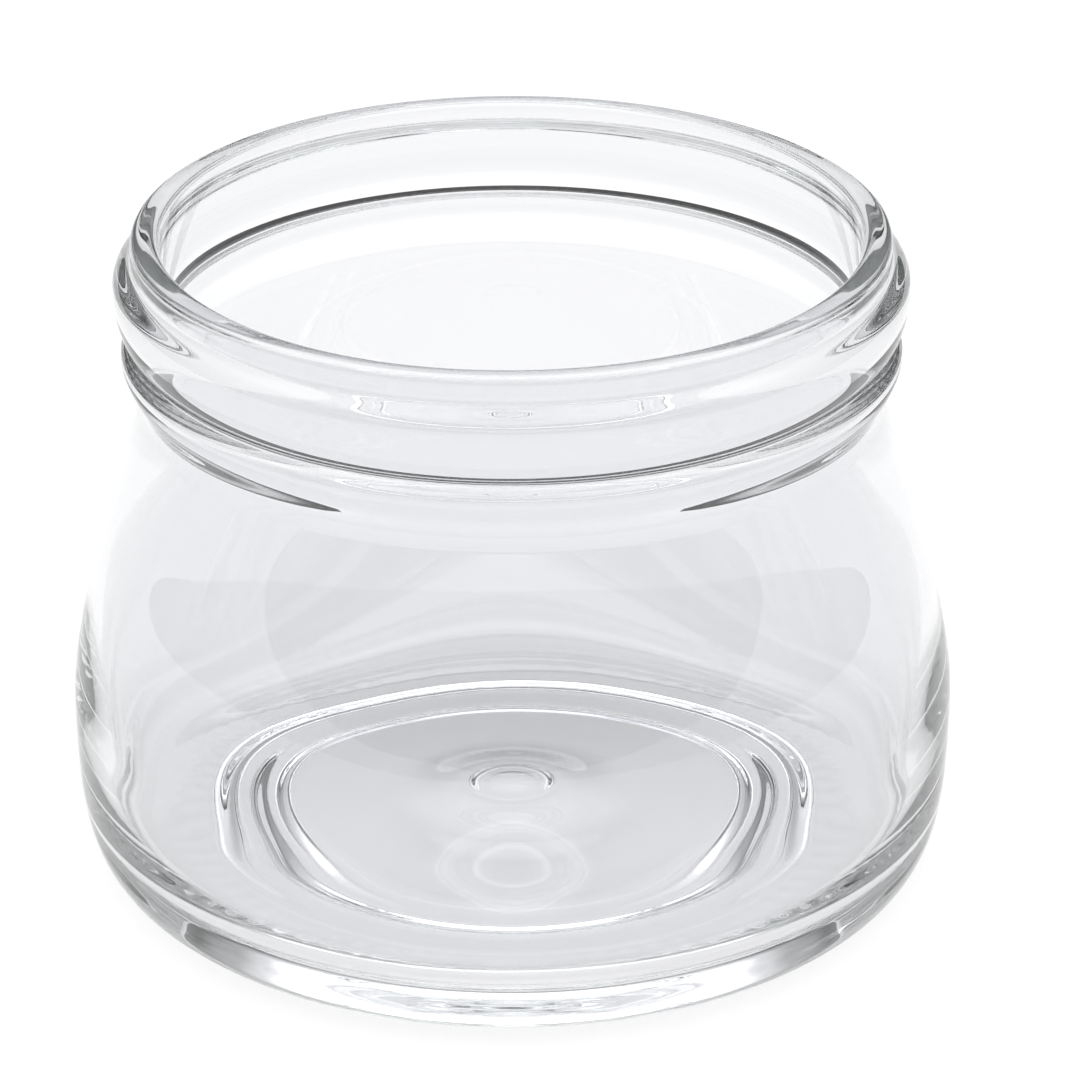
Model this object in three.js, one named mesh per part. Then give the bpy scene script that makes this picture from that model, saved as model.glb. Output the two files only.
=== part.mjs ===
// An open preserving jar of clear pressed glass, sized for one portion.
// It is one solid of revolution: a pear-shaped body on a ringed base with a push-up and a small hollow nub,
// a narrow neck, a bead and a collar that a press-on lid snaps over, and a rounded lip.
// Millimetres, +Z up, with the origin at the middle of the base, on the surface that the jar stands on.
// Points on the outline are given as a radius and a height.
import * as THREE from "three";

// Overall size
const HEIGHT = 54;
const BELLY = [36, 13.7];

// Base: the hollow nub at its centre, the push-up round it, a ridge, a groove and the ring that the jar stands on
const NUB_TOP = [0, 4.1];
const NUB_EDGE = [3.6, 2.8];
const CONE_FOOT = [10.5, 2];
const DISC_EDGE = [18.6, 1.9];
const RIDGE = [20.4, 0.3];
const GROOVE = [22.9, 1.3];
const RING_INNER = [26.2, 0];
const RING_OUTER = [28.6, 0];

// Neck and collar: the narrowest place, the bead over it, the crease and the widest place of the collar
const NECK = [29.6, 40.8];
const BEAD = [31.05, 44.2];
const CREASE = [29.9, 45.4];
const COLLAR = [31.5, 49.8];

// Lip: a half round on top of the wall, set back from the collar
const LIP_OUTER_RADIUS = 30;
const LIP_ROUND = 1.15;
const LIP_FOOT_DROP = 0.5;

// Inside: the bore of the neck, the wall at the belly and the floor
const NECK_BORE = [27.4, 44];
const BELLY_WALL = 2.1;
const FLOOR_EDGE = [25, 3.7];
const FLOOR_CROWN = [0, 5.6];

// Facets round the jar
const SEGMENTS = 48;

// Guides: the two points that a curve leans towards, the first as it leaves and the second as it arrives
const NUB_GUIDES = [[2.5, 4.1], [3.2, 2.8]];
const CONE_GUIDES = [[5.5, 2.8], [7.5, 2]];
const DISC_GUIDES = [[13.5, 2], [15.6, 1.9]];
const RIDGE_GUIDES = [[19.4, 1.9], [19.6, 0.3]];
const GROOVE_GUIDES = [[21.2, 0.3], [21.9, 1.3]];
const RING_GUIDES = [[24.2, 1.3], [24.9, 0]];
const HEEL_GUIDES = [[34.8, 0], [36, 1.4]];
const SHOULDER_GUIDES = [[36, 20.5], [32, 31.4]];
const BEAD_GUIDES = [[29.9, 41.9], [31.05, 43.1]];
const CREASE_GUIDES = [[31.05, 44.9], [30.5, 45.2]];
const COLLAR_GUIDES = [[31, 46.3], [31.5, 48]];
const LIP_FOOT_GUIDES = [[31.5, 51.4], [30, 51.5]];
const INNER_SHOULDER_GUIDES = [[27.4, 32], [33.9, 26]];
const INNER_HEEL_GUIDES = [[33.9, 5], [32.7, 3.7]];
const FLOOR_GUIDES = [[15, 3.7], [5, 5.6]];

const lipHeight = HEIGHT - LIP_ROUND;
const lipMiddle = LIP_OUTER_RADIUS - LIP_ROUND;
const lipFoot = [LIP_OUTER_RADIUS, lipHeight - LIP_FOOT_DROP];
const bellyBore = [BELLY[0] - BELLY_WALL, BELLY[1]];

// A curve from one point of the outline to another, as `steps` chords.
function sweep(from, guides, to, steps) {
  const corners = [from, ...guides, to].map((corner) => new THREE.Vector2(...corner));
  return new THREE.CubicBezierCurve(...corners).getPoints(steps);
}

// The underside, from the axis out to the foot of the heel.
function underside() {
  return [
    ...sweep(NUB_TOP, NUB_GUIDES, NUB_EDGE, 4),
    ...sweep(NUB_EDGE, CONE_GUIDES, CONE_FOOT, 4),
    ...sweep(CONE_FOOT, DISC_GUIDES, DISC_EDGE, 2),
    ...sweep(DISC_EDGE, RIDGE_GUIDES, RIDGE, 3),
    ...sweep(RIDGE, GROOVE_GUIDES, GROOVE, 3),
    ...sweep(GROOVE, RING_GUIDES, RING_INNER, 3),
  ];
}

// The outside of the body, from the foot of the heel up to the neck.
function body() {
  return [
    ...sweep(RING_OUTER, HEEL_GUIDES, BELLY, 10),
    ...sweep(BELLY, SHOULDER_GUIDES, NECK, 9),
  ];
}

// The bead, the crease, the collar and the rounded lip, as far as the lip's inner edge.
function finish() {
  const lipRound = new THREE.EllipseCurve(lipMiddle, lipHeight, LIP_ROUND, LIP_ROUND, 0, Math.PI);
  return [
    ...sweep(NECK, BEAD_GUIDES, BEAD, 4),
    ...sweep(BEAD, CREASE_GUIDES, CREASE, 3),
    ...sweep(CREASE, COLLAR_GUIDES, COLLAR, 4),
    ...sweep(COLLAR, LIP_FOOT_GUIDES, lipFoot, 5),
    ...lipRound.getPoints(8),
  ];
}

// The inside, from the neck's bore down to the axis on the floor.
function inside() {
  return [
    ...sweep(NECK_BORE, INNER_SHOULDER_GUIDES, bellyBore, 9),
    ...sweep(bellyBore, INNER_HEEL_GUIDES, FLOOR_EDGE, 10),
    ...sweep(FLOOR_EDGE, FLOOR_GUIDES, FLOOR_CROWN, 5),
  ];
}

// Curves that follow each other share an end, which the profile keeps once.
function joined(points) {
  return points.filter((p, i) => i === 0 || p.distanceTo(points[i - 1]) > 1e-6);
}

function glassJar() {
  const profile = joined([...underside(), ...body(), ...finish(), ...inside()]);
  const geometry = new THREE.LatheGeometry(profile, SEGMENTS);
  geometry.rotateX(Math.PI / 2);
  const clearGlass = new THREE.MeshStandardMaterial({
    color: 0xdcdde1,
    roughness: 0.04,
    metalness: 0,
    transparent: true,
    opacity: 0.35,
  });
  const mesh = new THREE.Mesh(geometry, clearGlass);
  mesh.name = "glass_jar";
  return mesh;
}

const jar = new THREE.Group();
jar.add(glassJar());

export default jar;
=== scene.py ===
"""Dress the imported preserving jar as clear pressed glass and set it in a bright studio."""

import logging
import math
from dataclasses import dataclass, field
from enum import Enum

import bpy
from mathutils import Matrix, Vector


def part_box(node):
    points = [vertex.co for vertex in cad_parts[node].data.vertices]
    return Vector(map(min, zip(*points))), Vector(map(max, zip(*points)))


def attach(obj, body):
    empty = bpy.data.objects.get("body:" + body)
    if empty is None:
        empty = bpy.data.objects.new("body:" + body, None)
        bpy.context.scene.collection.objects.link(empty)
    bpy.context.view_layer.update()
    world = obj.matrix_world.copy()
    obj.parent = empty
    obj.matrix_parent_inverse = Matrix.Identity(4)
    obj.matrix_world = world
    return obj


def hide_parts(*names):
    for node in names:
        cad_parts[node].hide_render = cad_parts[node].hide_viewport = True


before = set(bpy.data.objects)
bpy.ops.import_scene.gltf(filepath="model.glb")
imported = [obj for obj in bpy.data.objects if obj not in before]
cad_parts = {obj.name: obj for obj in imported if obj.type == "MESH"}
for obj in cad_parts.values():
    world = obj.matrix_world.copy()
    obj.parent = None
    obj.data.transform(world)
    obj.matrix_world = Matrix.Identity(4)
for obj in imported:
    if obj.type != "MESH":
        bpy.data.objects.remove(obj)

LOG = logging.getLogger("preserving_jar")
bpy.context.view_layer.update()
CAD_NODE = "glass_jar"
BODY = "root"
MM = 0.001

Point = tuple[float, float]
Guides = tuple[Point, Point]


class Skin(Enum):
    """Which skin of the glass a stretch of the outline belongs to."""

    OUTER = 0.0
    INNER = 1.0


@dataclass(frozen=True)
class Stretch:
    """One smooth stretch of the jar's outline, a cubic curve in radius and height.

    Args:
        start: Where the stretch begins, in millimetres.
        leave: The point that it sets out towards.
        arrive: The point that it comes in from.
        end: Where it ends.
        steps: How many chords it is drawn with.
        skin: The skin of the glass that it lies on.
    """

    start: Point
    leave: Point
    arrive: Point
    end: Point
    steps: int
    skin: Skin

    def points(self) -> list[Point]:
        """The points after the start, as far as the end."""
        return [self._at(step / self.steps) for step in range(1, self.steps + 1)]

    def _at(self, along: float) -> Point:
        """The point at a share of the way along.

        Args:
            along: The share, from 0 at the start to 1 at the end.

        Returns:
            The radius and the height, in millimetres.
        """
        rest = 1 - along
        weights = (rest**3, 3 * rest**2 * along, 3 * rest * along**2, along**3)
        corners = (self.start, self.leave, self.arrive, self.end)
        radius = sum(w * corner[0] for w, corner in zip(weights, corners))
        height = sum(w * corner[1] for w, corner in zip(weights, corners))
        return radius, height


@dataclass
class JarOutline:
    """The jar's outline from the axis under the base, up the outside, over the lip and down the inside.

    All sizes are in millimetres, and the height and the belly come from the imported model.
    """

    height: float
    belly_radius: float
    belly_height: float = 13.7
    nub_top: Point = (0.0, 4.1)
    nub_edge: Point = (3.6, 2.8)
    cone_foot: Point = (10.5, 2.0)
    disc_edge: Point = (18.6, 1.9)
    ridge: Point = (20.4, 0.3)
    groove: Point = (22.9, 1.8)
    ring_inner: Point = (26.2, 0.0)
    ring_outer: Point = (28.6, 0.0)
    neck: Point = (29.6, 40.8)
    bead: Point = (31.05, 44.2)
    crease: Point = (29.9, 45.4)
    collar: Point = (31.5, 49.8)
    lip_outer_radius: float = 30.0
    lip_round: float = 1.15
    lip_fullness: float = 0.85
    lip_foot_drop: float = 0.5
    belly_wall: float = 2.1
    neck_bore: Point = (27.4, 44.0)
    floor_edge: Point = (25.0, 3.7)
    floor_crown: Point = (0.0, 5.6)
    nub_guides: Guides = ((3.4, 4.1), (2.9, 2.8))
    cone_guides: Guides = ((5.5, 2.8), (7.5, 2.0))
    disc_guides: Guides = ((13.5, 2.0), (15.6, 1.9))
    ridge_guides: Guides = ((19.4, 1.9), (19.6, 0.3))
    groove_guides: Guides = ((21.3, 0.3), (21.9, 1.8))
    ring_guides: Guides = ((24.1, 1.8), (24.9, 0.0))
    heel_guides: Guides = ((34.8, 0.0), (36.0, 1.4))
    shoulder_guides: Guides = ((36.0, 20.5), (32.0, 31.4))
    bead_guides: Guides = ((29.9, 41.9), (31.05, 43.1))
    crease_guides: Guides = ((31.05, 44.9), (30.5, 45.2))
    collar_guides: Guides = ((31.0, 46.3), (31.5, 48.0))
    lip_foot_guides: Guides = ((31.5, 51.4), (30.0, 51.5))
    inner_shoulder_guides: Guides = ((27.4, 32.0), (33.9, 26.0))
    inner_heel_guides: Guides = ((33.9, 5.0), (32.7, 3.7))
    floor_guides: Guides = ((15.0, 3.7), (5.0, 5.6))
    detail: int = 3

    def stretches(self) -> list[Stretch]:
        """Every stretch in order, each starting where the one before it ends."""
        return [*self._underside(), *self._body(), *self._finish(), *self._lip(), *self._inside()]

    def points(self) -> list[tuple[float, float, Skin]]:
        """The outline's points.

        Returns:
            The radius, the height and the skin of each point, from the axis back to the axis.
        """
        stretches = self.stretches()
        first = stretches[0]
        found = [(*first.start, first.skin)]
        for stretch in stretches:
            found.extend((*point, stretch.skin) for point in stretch.points())
        return found

    def _curve(
        self, start: Point, guides: Guides, end: Point, steps: int, skin: Skin = Skin.OUTER
    ) -> Stretch:
        """Make a curved stretch, with its chords multiplied by the outline's detail.

        Args:
            start: Where the stretch begins.
            guides: The points that it leaves towards and comes in from.
            end: Where it ends.
            steps: Its chords, before the detail is counted in.
            skin: The skin of the glass that it lies on.

        Returns:
            The stretch.
        """
        return Stretch(start, *guides, end, steps * self.detail, skin)

    def _straight(self, start: Point, end: Point, steps: int, skin: Skin = Skin.OUTER) -> Stretch:
        """Make a stretch with no bend in it.

        Args:
            start: Where the stretch begins.
            end: Where it ends.
            steps: Its chords, before the detail is counted in.
            skin: The skin of the glass that it lies on.

        Returns:
            The stretch.
        """
        return self._curve(start, (start, end), end, steps, skin)

    def _underside(self) -> list[Stretch]:
        """Draw the nub's hollow, the push-up round it, the ridge, the groove and the standing ring.

        Returns:
            The stretches from the axis out to the foot of the heel.
        """
        return [
            self._curve(self.nub_top, self.nub_guides, self.nub_edge, 5),
            self._curve(self.nub_edge, self.cone_guides, self.cone_foot, 5),
            self._curve(self.cone_foot, self.disc_guides, self.disc_edge, 3),
            self._curve(self.disc_edge, self.ridge_guides, self.ridge, 4),
            self._curve(self.ridge, self.groove_guides, self.groove, 4),
            self._curve(self.groove, self.ring_guides, self.ring_inner, 4),
            self._straight(self.ring_inner, self.ring_outer, 2),
        ]

    def _body(self) -> list[Stretch]:
        """Draw the heel and the shoulder, on the outside.

        Returns:
            The stretches from the standing ring up to the neck.
        """
        belly = (self.belly_radius, self.belly_height)
        return [
            self._curve(self.ring_outer, self.heel_guides, belly, 12),
            self._curve(belly, self.shoulder_guides, self.neck, 9),
        ]

    def _finish(self) -> list[Stretch]:
        """Draw the bead over the neck, the crease and the collar.

        Returns:
            The stretches from the neck up to the foot of the lip.
        """
        lip_foot = (self.lip_outer_radius, self._lip_height() - self.lip_foot_drop)
        return [
            self._curve(self.neck, self.bead_guides, self.bead, 5),
            self._curve(self.bead, self.crease_guides, self.crease, 4),
            self._curve(self.crease, self.collar_guides, self.collar, 7),
            self._curve(self.collar, self.lip_foot_guides, lip_foot, 5),
        ]

    def _lip(self) -> list[Stretch]:
        """Draw the lip's full round, in two quarters.

        Returns:
            The stretches from the foot of the lip over its crest to the bore.
        """
        bend = self.lip_fullness * self.lip_round
        outer = (self.lip_outer_radius, self._lip_height())
        foot = (outer[0], outer[1] - self.lip_foot_drop)
        crest = (outer[0] - self.lip_round, self.height)
        inner = (self._bore_radius(), self._lip_height())
        rising = ((outer[0], outer[1] + bend), (crest[0] + bend, crest[1]))
        falling = ((crest[0] - bend, crest[1]), (inner[0], inner[1] + bend))
        return [
            self._straight(foot, outer, 1),
            self._curve(outer, rising, crest, 4),
            self._curve(crest, falling, inner, 4, Skin.INNER),
        ]

    def _inside(self) -> list[Stretch]:
        """Draw the bore, the inside of the body and the floor.

        Returns:
            The stretches from the lip down to the axis.
        """
        lip = (self._bore_radius(), self._lip_height())
        belly = (self.belly_radius - self.belly_wall, self.belly_height)
        return [
            self._straight(lip, self.neck_bore, 3, Skin.INNER),
            self._curve(self.neck_bore, self.inner_shoulder_guides, belly, 9, Skin.INNER),
            self._curve(belly, self.inner_heel_guides, self.floor_edge, 10, Skin.INNER),
            self._curve(self.floor_edge, self.floor_guides, self.floor_crown, 6, Skin.INNER),
        ]

    def _lip_height(self) -> float:
        """The height of the middle of the lip's round."""
        return self.height - self.lip_round

    def _bore_radius(self) -> float:
        """The radius inside the mouth."""
        return self.lip_outer_radius - 2 * self.lip_round


@dataclass(frozen=True)
class GlassFinish:
    """Clear pressed glass with a faint cool tint and a slight ripple from the mould."""

    tint: tuple[float, float, float] = (0.885, 0.888, 0.903)
    depth_colour: tuple[float, float, float] = (0.0, 0.07, 0.06)
    depth_density: float = 4.0
    ior: float = 1.5
    roughness: float = 0.0
    ripple_scale: float = 140.0
    ripple_strength: float = 0.02
    ripple_height: float = 1.0

    def material(self) -> bpy.types.Material:
        """Build the glass.

        Returns:
            A see-through material whose skin ripples slightly over the jar.
        """
        material = bpy.data.materials.new("clear_pressed_glass")
        material.use_nodes = True
        tree = material.node_tree
        shader = tree.nodes["Principled BSDF"]
        shader.inputs["Base Color"].default_value = (*self.tint, 1.0)
        shader.inputs["Transmission Weight"].default_value = 1.0
        shader.inputs["IOR"].default_value = self.ior
        shader.inputs["Roughness"].default_value = self.roughness
        depth = tree.nodes.new("ShaderNodeVolumeAbsorption")
        depth.inputs["Color"].default_value = (*self.depth_colour, 1.0)
        depth.inputs["Density"].default_value = self.depth_density
        tree.links.new(depth.outputs["Volume"], tree.nodes["Material Output"].inputs["Volume"])
        place = tree.nodes.new("ShaderNodeTexCoord")
        ripple = tree.nodes.new("ShaderNodeTexNoise")
        ripple.inputs["Scale"].default_value = self.ripple_scale
        ripple.inputs["Detail"].default_value = 0.0
        tree.links.new(place.outputs["Object"], ripple.inputs["Vector"])
        bump = tree.nodes.new("ShaderNodeBump")
        bump.inputs["Strength"].default_value = self.ripple_strength
        bump.inputs["Distance"].default_value = self.ripple_height * MM
        tree.links.new(ripple.outputs["Fac"], bump.inputs["Height"])
        tree.links.new(bump.outputs["Normal"], shader.inputs["Normal"])
        return material


@dataclass(frozen=True)
class PaleFloorFinish:
    """A matt white sweep with a painted glow that stands in for light from below and, farther back, a
    brighter back-light, with the faintest unevenness.
    """

    shade_low: float = 0.14
    shade_high: float = 0.16
    grain_scale: float = 8.0
    glow: float = 0.86
    far_glow: float = 0.96
    far_start: float = 0.25
    far_end: float = 0.5

    def material(self) -> bpy.types.Material:
        """Build the floor's matt white.

        Returns:
            A diffuse material with a slow drift of shade, glowing with painted light that grows stronger
            farther back.
        """
        material = bpy.data.materials.new("matt_white_sweep")
        material.use_nodes = True
        material.cycles.emission_sampling = "NONE"
        tree = material.node_tree
        shader = tree.nodes["Principled BSDF"]
        shader.inputs["Roughness"].default_value = 1.0
        shader.inputs["Specular IOR Level"].default_value = 0.0
        shader.inputs["Emission Color"].default_value = (1.0, 1.0, 1.0, 1.0)
        place = tree.nodes.new("ShaderNodeTexCoord")
        parts = tree.nodes.new("ShaderNodeSeparateXYZ")
        tree.links.new(place.outputs["Object"], parts.inputs["Vector"])
        # Painted light: the floor glows by itself, which washes out the jar's shadow, and glows more
        # farther back as a painted back-light.
        back = tree.nodes.new("ShaderNodeMapRange")
        back.interpolation_type = "SMOOTHSTEP"
        back.inputs["From Min"].default_value = self.far_start
        back.inputs["From Max"].default_value = self.far_end
        back.inputs["To Min"].default_value = self.glow
        back.inputs["To Max"].default_value = self.far_glow
        tree.links.new(parts.outputs["Y"], back.inputs["Value"])
        tree.links.new(back.outputs["Result"], shader.inputs["Emission Strength"])
        grain = tree.nodes.new("ShaderNodeTexNoise")
        grain.inputs["Scale"].default_value = self.grain_scale
        tree.links.new(place.outputs["Object"], grain.inputs["Vector"])
        shade = tree.nodes.new("ShaderNodeMapRange")
        shade.inputs["To Min"].default_value = self.shade_low
        shade.inputs["To Max"].default_value = self.shade_high
        tree.links.new(grain.outputs["Fac"], shade.inputs["Value"])
        tree.links.new(shade.outputs["Result"], shader.inputs["Base Color"])
        return material


@dataclass
class LatheTree:
    """A node tree that turns an outline round the jar's axis and cuts knurls into the standing ring.

    Args:
        name: The tree's name.
        seam: How far apart two points may lie and still be joined, in millimetres.
        knurl_ceiling: The height under which knurls are cut, in millimetres.
        sockets: The identifier of each input, by its name.
    """

    name: str = "turned_glass"
    seam: float = 0.001
    knurl_ceiling: float = 1.0
    sockets: dict[str, str] = field(default_factory=dict)

    def build(self) -> bpy.types.GeometryNodeTree:
        """Make the tree with its named inputs.

        Returns:
            The tree, with each input's identifier kept in `sockets`.
        """
        tree = bpy.data.node_groups.new(self.name, "GeometryNodeTree")
        self._declare(tree)
        start = tree.nodes.new("NodeGroupInput")
        turned = self._turn(tree, start)
        smooth = tree.nodes.new("GeometryNodeSetShadeSmooth")
        realize = tree.nodes.new("GeometryNodeRealizeInstances")
        paint = tree.nodes.new("GeometryNodeSetMaterial")
        end = tree.nodes.new("NodeGroupOutput")
        tree.links.new(turned, smooth.inputs["Geometry"])
        tree.links.new(smooth.outputs["Geometry"], realize.inputs["Geometry"])
        tree.links.new(realize.outputs["Geometry"], paint.inputs["Geometry"])
        tree.links.new(start.outputs["Glass"], paint.inputs["Material"])
        tree.links.new(paint.outputs["Geometry"], end.inputs["Geometry"])
        return tree

    def _declare(self, tree: bpy.types.GeometryNodeTree) -> None:
        """Give the tree its sockets.

        Args:
            tree: The tree that is being built.
        """
        kinds = {
            "Outline": "NodeSocketGeometry",
            "Segments": "NodeSocketInt",
            "Knurls": "NodeSocketInt",
            "Knurl Depth": "NodeSocketFloat",
            "Knurl Inner": "NodeSocketFloat",
            "Knurl Outer": "NodeSocketFloat",
            "Unevenness": "NodeSocketFloat",
            "Unevenness Scale": "NodeSocketFloat",
            "Seed": "NodeSocketInt",
            "Glass": "NodeSocketMaterial",
        }
        for name, kind in kinds.items():
            socket = tree.interface.new_socket(name=name, in_out="INPUT", socket_type=kind)
            self.sockets[name] = socket.identifier
        tree.interface.new_socket(name="Geometry", in_out="OUTPUT", socket_type="NodeSocketGeometry")

    def _math(
        self, tree: bpy.types.GeometryNodeTree, operation: str, *values: float | bpy.types.NodeSocket
    ) -> bpy.types.NodeSocket:
        """Add one sum.

        Args:
            tree: The tree that is being built.
            operation: The name of the sum, such as ADD.
            values: Numbers, or the sockets that they come from.

        Returns:
            The socket that holds the answer.
        """
        node = tree.nodes.new("ShaderNodeMath")
        node.operation = operation
        for socket, value in zip(node.inputs, values):
            if isinstance(value, bpy.types.NodeSocket):
                tree.links.new(value, socket)
            else:
                socket.default_value = value
        return node.outputs[0]

    def _turn(self, tree: bpy.types.GeometryNodeTree, start: bpy.types.Node) -> bpy.types.NodeSocket:
        """Lay a grid of points, one row for each point of the outline, and wrap it round the axis.

        Args:
            tree: The tree that is being built.
            start: The tree's input node.

        Returns:
            The socket that holds the closed mesh.
        """
        count = tree.nodes.new("GeometryNodeAttributeDomainSize")
        tree.links.new(start.outputs["Outline"], count.inputs["Geometry"])
        columns = self._math(tree, "ADD", start.outputs["Segments"], 1.0)
        grid = tree.nodes.new("GeometryNodeMeshGrid")
        tree.links.new(count.outputs["Point Count"], grid.inputs["Vertices X"])
        tree.links.new(columns, grid.inputs["Vertices Y"])
        index = tree.nodes.new("GeometryNodeInputIndex").outputs[0]
        row = self._math(tree, "FLOOR", self._math(tree, "DIVIDE", index, columns))
        column = self._math(tree, "SUBTRACT", index, self._math(tree, "MULTIPLY", row, columns))
        step = self._math(tree, "DIVIDE", -math.tau, start.outputs["Segments"])
        angle = self._math(tree, "MULTIPLY", column, step)
        radius, height, inner = self._outline_point(tree, start, row)
        cosine = self._math(tree, "COSINE", angle)
        sine = self._math(tree, "SINE", angle)
        uneven = self._unevenness(tree, start, (radius, height, inner), (cosine, sine))
        radius = self._math(tree, "ADD", radius, uneven)
        height = self._math(tree, "ADD", height, self._knurl(tree, start, radius, height, angle))
        place = tree.nodes.new("ShaderNodeCombineXYZ")
        tree.links.new(self._math(tree, "MULTIPLY", radius, cosine), place.inputs["X"])
        tree.links.new(self._math(tree, "MULTIPLY", radius, sine), place.inputs["Y"])
        tree.links.new(height, place.inputs["Z"])
        wrap = tree.nodes.new("GeometryNodeSetPosition")
        tree.links.new(grid.outputs["Mesh"], wrap.inputs["Geometry"])
        tree.links.new(place.outputs["Vector"], wrap.inputs["Position"])
        close = tree.nodes.new("GeometryNodeMergeByDistance")
        close.inputs["Distance"].default_value = self.seam * MM
        tree.links.new(wrap.outputs["Geometry"], close.inputs["Geometry"])
        return close.outputs["Geometry"]

    def _outline_point(
        self, tree: bpy.types.GeometryNodeTree, start: bpy.types.Node, row: bpy.types.NodeSocket
    ) -> tuple[bpy.types.NodeSocket, bpy.types.NodeSocket, bpy.types.NodeSocket]:
        """Read the outline's point for a row of the grid.

        Args:
            tree: The tree that is being built.
            start: The tree's input node.
            row: The point's number along the outline.

        Returns:
            The sockets of its radius, its height and how far it counts as the inner skin.
        """
        where = tree.nodes.new("GeometryNodeSampleIndex")
        where.data_type = "FLOAT_VECTOR"
        tree.links.new(start.outputs["Outline"], where.inputs["Geometry"])
        tree.links.new(tree.nodes.new("GeometryNodeInputPosition").outputs[0], where.inputs["Value"])
        tree.links.new(row, where.inputs["Index"])
        parts = tree.nodes.new("ShaderNodeSeparateXYZ")
        tree.links.new(where.outputs["Value"], parts.inputs["Vector"])
        named = tree.nodes.new("GeometryNodeInputNamedAttribute")
        named.inputs["Name"].default_value = "inner"
        skin = tree.nodes.new("GeometryNodeSampleIndex")
        tree.links.new(start.outputs["Outline"], skin.inputs["Geometry"])
        tree.links.new(named.outputs["Attribute"], skin.inputs["Value"])
        tree.links.new(row, skin.inputs["Index"])
        return parts.outputs["X"], parts.outputs["Z"], skin.outputs["Value"]

    def _unevenness(
        self,
        tree: bpy.types.GeometryNodeTree,
        start: bpy.types.Node,
        point: tuple[bpy.types.NodeSocket, ...],
        turn: tuple[bpy.types.NodeSocket, ...],
    ) -> bpy.types.NodeSocket:
        """Let the inner skin's radius wander a little, as it does in pressed glass.

        Args:
            tree: The tree that is being built.
            start: The tree's input node.
            point: The radius, height and inner share of the outline's point.
            turn: The cosine and sine of the angle round the axis.

        Returns:
            The socket of the change of radius.
        """
        radius, height, inner = point
        place = tree.nodes.new("ShaderNodeCombineXYZ")
        tree.links.new(self._math(tree, "MULTIPLY", radius, turn[0]), place.inputs["X"])
        tree.links.new(self._math(tree, "MULTIPLY", radius, turn[1]), place.inputs["Y"])
        tree.links.new(height, place.inputs["Z"])
        noise = tree.nodes.new("ShaderNodeTexNoise")
        noise.noise_dimensions = "4D"
        noise.inputs["Detail"].default_value = 0.0
        tree.links.new(place.outputs["Vector"], noise.inputs["Vector"])
        tree.links.new(start.outputs["Seed"], noise.inputs["W"])
        tree.links.new(start.outputs["Unevenness Scale"], noise.inputs["Scale"])
        centred = self._math(tree, "SUBTRACT", noise.outputs[0], 0.5)
        share = self._math(tree, "MULTIPLY", centred, inner)
        return self._math(tree, "MULTIPLY", share, start.outputs["Unevenness"])

    def _knurl(
        self,
        tree: bpy.types.GeometryNodeTree,
        start: bpy.types.Node,
        radius: bpy.types.NodeSocket,
        height: bpy.types.NodeSocket,
        angle: bpy.types.NodeSocket,
    ) -> bpy.types.NodeSocket:
        """Cut shallow radial notches up into the standing ring.

        Args:
            tree: The tree that is being built.
            start: The tree's input node.
            radius: The point's radius.
            height: The point's height.
            angle: Its angle round the axis.

        Returns:
            The socket of the change of height.
        """
        inner, outer = start.outputs["Knurl Inner"], start.outputs["Knurl Outer"]
        middle = self._math(tree, "MULTIPLY", self._math(tree, "ADD", inner, outer), 0.5)
        half = self._math(tree, "MULTIPLY", self._math(tree, "SUBTRACT", outer, inner), 0.5)
        offset = self._math(tree, "DIVIDE", self._math(tree, "SUBTRACT", radius, middle), half)
        square = self._math(tree, "MULTIPLY", offset, offset)
        band = self._math(tree, "MAXIMUM", self._math(tree, "SUBTRACT", 1.0, square), 0.0)
        under = self._math(tree, "LESS_THAN", height, self.knurl_ceiling * MM)
        turns = self._math(tree, "MULTIPLY", angle, start.outputs["Knurls"])
        swing = self._math(tree, "MULTIPLY", self._math(tree, "COSINE", turns), 0.5)
        wave = self._math(tree, "SUBTRACT", 0.5, swing)
        cut = self._math(tree, "MULTIPLY", self._math(tree, "MULTIPLY", band, under), wave)
        return self._math(tree, "MULTIPLY", cut, start.outputs["Knurl Depth"])


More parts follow.
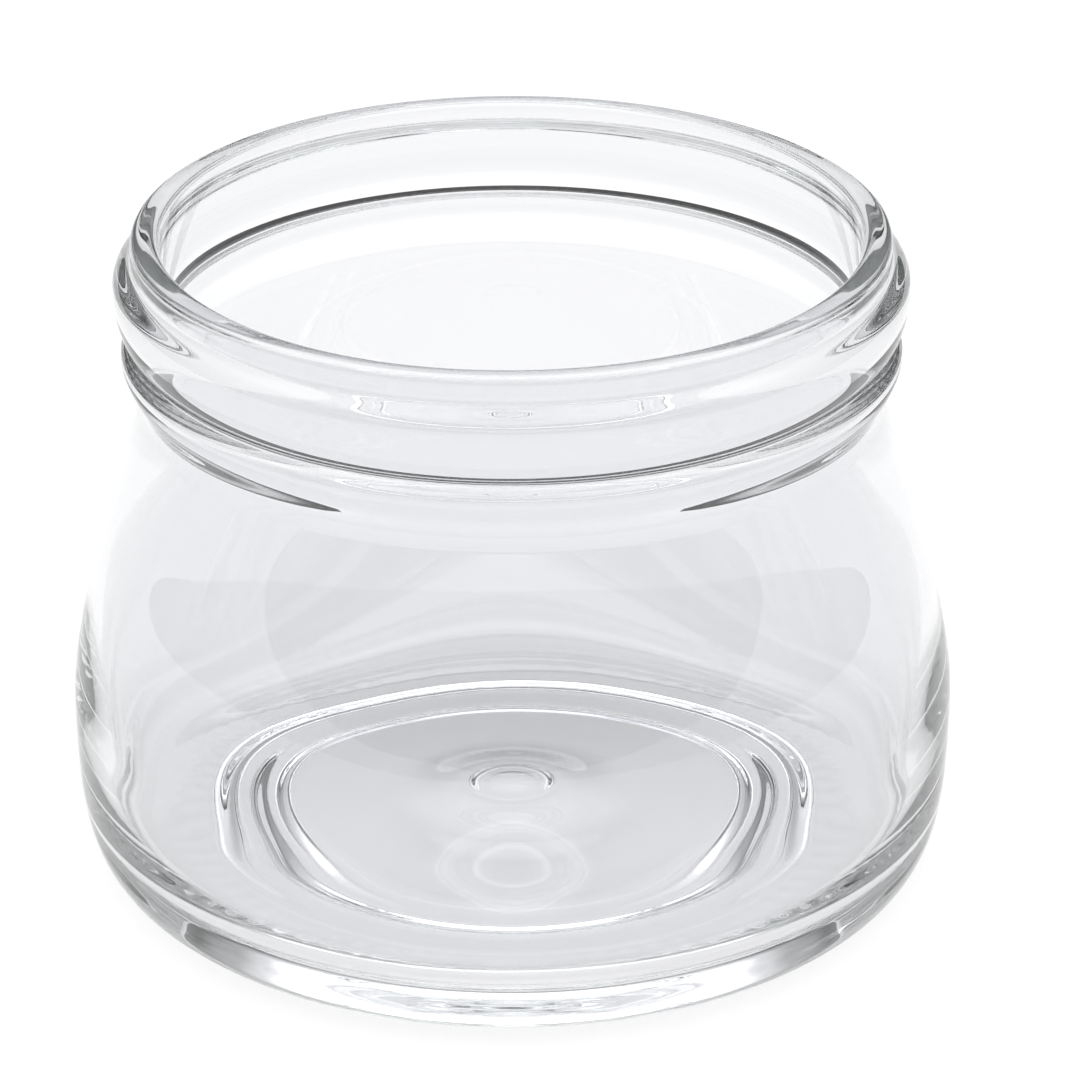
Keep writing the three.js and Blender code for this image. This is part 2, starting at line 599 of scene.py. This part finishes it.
@dataclass
class GlassJar:
    """The jar itself: one piece of glass, turned from its outline."""

    outline: JarOutline
    finish: GlassFinish
    segments: int = 300
    knurls: int = 75
    knurl_depth: float = 0.04
    knurl_inner: float = 25.4
    knurl_outer: float = 29.8
    unevenness: float = 0.2
    unevenness_scale: float = 60.0
    seed: int = 7

    def build(self) -> bpy.types.Object:
        """Make the piece, dress it and put it in the place of the CAD node.

        Returns:
            The finished piece.
        """
        piece = self._outline_object()
        self._turn(piece)
        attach(piece, BODY)
        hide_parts(CAD_NODE)
        return piece

    def _outline_object(self) -> bpy.types.Object:
        """Draw the outline as a line of edges in the XZ plane.

        Returns:
            An object that holds the line, with the skin kept as an attribute.
        """
        points = self.outline.points()
        mesh = bpy.data.meshes.new("clear_jar")
        places = [(radius * MM, 0.0, height * MM) for radius, height, _ in points]
        edges = [(number, number + 1) for number in range(len(points) - 1)]
        mesh.from_pydata(places, edges, [])
        inner = mesh.attributes.new("inner", "FLOAT", "POINT")
        fade = self.outline.floor_edge[0]
        for number, (radius, _, skin) in enumerate(points):
            inner.data[number].value = skin.value * min(1.0, radius / fade)
        piece = bpy.data.objects.new("clear_jar", mesh)
        bpy.context.scene.collection.objects.link(piece)
        return piece

    def _turn(self, piece: bpy.types.Object) -> None:
        """Turn the outline into the glass and keep the result as a plain mesh.

        Args:
            piece: The object that holds the outline.
        """
        lathe = LatheTree()
        modifier = piece.modifiers.new("lathe", "NODES")
        modifier.node_group = lathe.build()
        values = {
            "Segments": self.segments,
            "Knurls": self.knurls,
            "Knurl Depth": self.knurl_depth * MM,
            "Knurl Inner": self.knurl_inner * MM,
            "Knurl Outer": self.knurl_outer * MM,
            "Unevenness": self.unevenness * MM,
            "Unevenness Scale": self.unevenness_scale,
            "Seed": self.seed,
            "Glass": self.finish.material(),
        }
        for name, value in values.items():
            modifier[lathe.sockets[name]] = value
        graph = bpy.context.evaluated_depsgraph_get()
        turned = bpy.data.meshes.new_from_object(piece.evaluated_get(graph), depsgraph=graph)
        piece.modifiers.remove(modifier)
        piece.data = turned


@dataclass
class Studio:
    """The floor, the light and the camera.

    Args:
        floor_half: Half the floor's width, in metres.
        floor_gap: How far the floor lies below the jar, in millimetres.
        dome: The dome's light at each share of the way up, from the horizon.
        glass_bounces: How often light may pass through or bounce in the glass.
        floor_bounces: How often light may bounce between matt surfaces.
        camera_distance: From the aim to the camera, in millimetres.
        camera_elevation: The camera's angle above the horizon, in degrees.
        aim_height: The height that the camera looks at, in millimetres.
        aim_right: How far right of the jar's axis it looks, in millimetres.
        lens: The focal length, in millimetres.
        nearest: The nearest thing that the camera sees, in millimetres.
    """

    floor_half: float = 3.0
    floor_gap: float = 0.1
    dome: tuple[tuple[float, float], ...] = ((0.25, 0.02), (0.5, 0.5), (0.65, 1.0), (0.8, 2.6))
    glass_bounces: int = 32
    floor_bounces: int = 1
    camera_distance: float = 366.0
    camera_elevation: float = 25.86
    aim_height: float = 26.49
    aim_right: float = 2.24
    lens: float = 150.0
    nearest: float = 10.0

    def build(self) -> bpy.types.Object:
        """Set up the studio.

        Returns:
            The floor.
        """
        self._view()
        self._light()
        self._camera()
        return self._floor()

    def _view(self) -> None:
        """Show colours plainly, and let light pass through many layers of glass."""
        scene = bpy.context.scene
        scene.view_settings.view_transform = "Standard"
        scene.cycles.max_bounces = self.glass_bounces
        scene.cycles.transmission_bounces = self.glass_bounces
        scene.cycles.glossy_bounces = self.glass_bounces
        scene.cycles.diffuse_bounces = self.floor_bounces

    def _floor(self) -> bpy.types.Object:
        """Lay a wide pale floor under the jar.

        Returns:
            The floor.
        """
        mesh = bpy.data.meshes.new("pale_floor")
        half = self.floor_half
        level = -self.floor_gap * MM
        corners = [(-half, -half, level), (half, -half, level), (half, half, level), (-half, half, level)]
        mesh.from_pydata(corners, [], [(0, 1, 2, 3)])
        mesh.materials.append(PaleFloorFinish().material())
        floor = bpy.data.objects.new("pale_floor", mesh)
        bpy.context.scene.collection.objects.link(floor)
        return floor

    def _light(self) -> None:
        """Light the studio from a pale dome that darkens towards the horizon."""
        world = bpy.data.worlds.new("soft_dome")
        bpy.context.scene.world = world
        world.use_nodes = True
        tree = world.node_tree
        place = tree.nodes.new("ShaderNodeTexCoord")
        parts = tree.nodes.new("ShaderNodeSeparateXYZ")
        tree.links.new(place.outputs["Generated"], parts.inputs["Vector"])
        rise = tree.nodes.new("ShaderNodeValToRGB")
        ramp = rise.color_ramp
        ramp.interpolation = "EASE"
        for spot, (height, light) in zip((ramp.elements[0], ramp.elements[1]), self.dome[:2]):
            spot.position = height
            spot.color = (light, light, light, 1.0)
        for height, light in self.dome[2:]:
            ramp.elements.new(height).color = (light, light, light, 1.0)
        tree.links.new(parts.outputs["Z"], rise.inputs["Fac"])
        sky = tree.nodes["Background"]
        tree.links.new(rise.outputs["Color"], sky.inputs["Color"])

    def _camera(self) -> None:
        """Stand the camera where the photograph was taken from."""
        lens = bpy.data.cameras.new("camera")
        lens.lens = self.lens
        lens.clip_start = self.nearest * MM
        tilt = math.radians(self.camera_elevation)
        aim = Vector((self.aim_right, 0.0, self.aim_height)) * MM
        place = Vector((0.0, -math.cos(tilt), math.sin(tilt))) * self.camera_distance * MM
        place.z += self.aim_height * MM
        camera = bpy.data.objects.new("camera", lens)
        camera.location = place
        camera.rotation_euler = (aim - place).to_track_quat("-Z", "Y").to_euler()
        bpy.context.scene.collection.objects.link(camera)
        bpy.context.scene.camera = camera


def main() -> None:
    """Build the jar and its studio, in order."""
    logging.basicConfig(level=logging.INFO, format="%(name)s: %(message)s")
    low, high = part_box(CAD_NODE)
    outline = JarOutline(height=(high.z - low.z) / MM, belly_radius=(high.x - low.x) / 2 / MM)
    jar = GlassJar(outline, GlassFinish()).build()
    LOG.info("%s: %d faces", jar.name, len(jar.data.polygons))
    floor = Studio().build()
    LOG.info("%s: stage", floor.name)


if __name__ == "__main__":
    main()
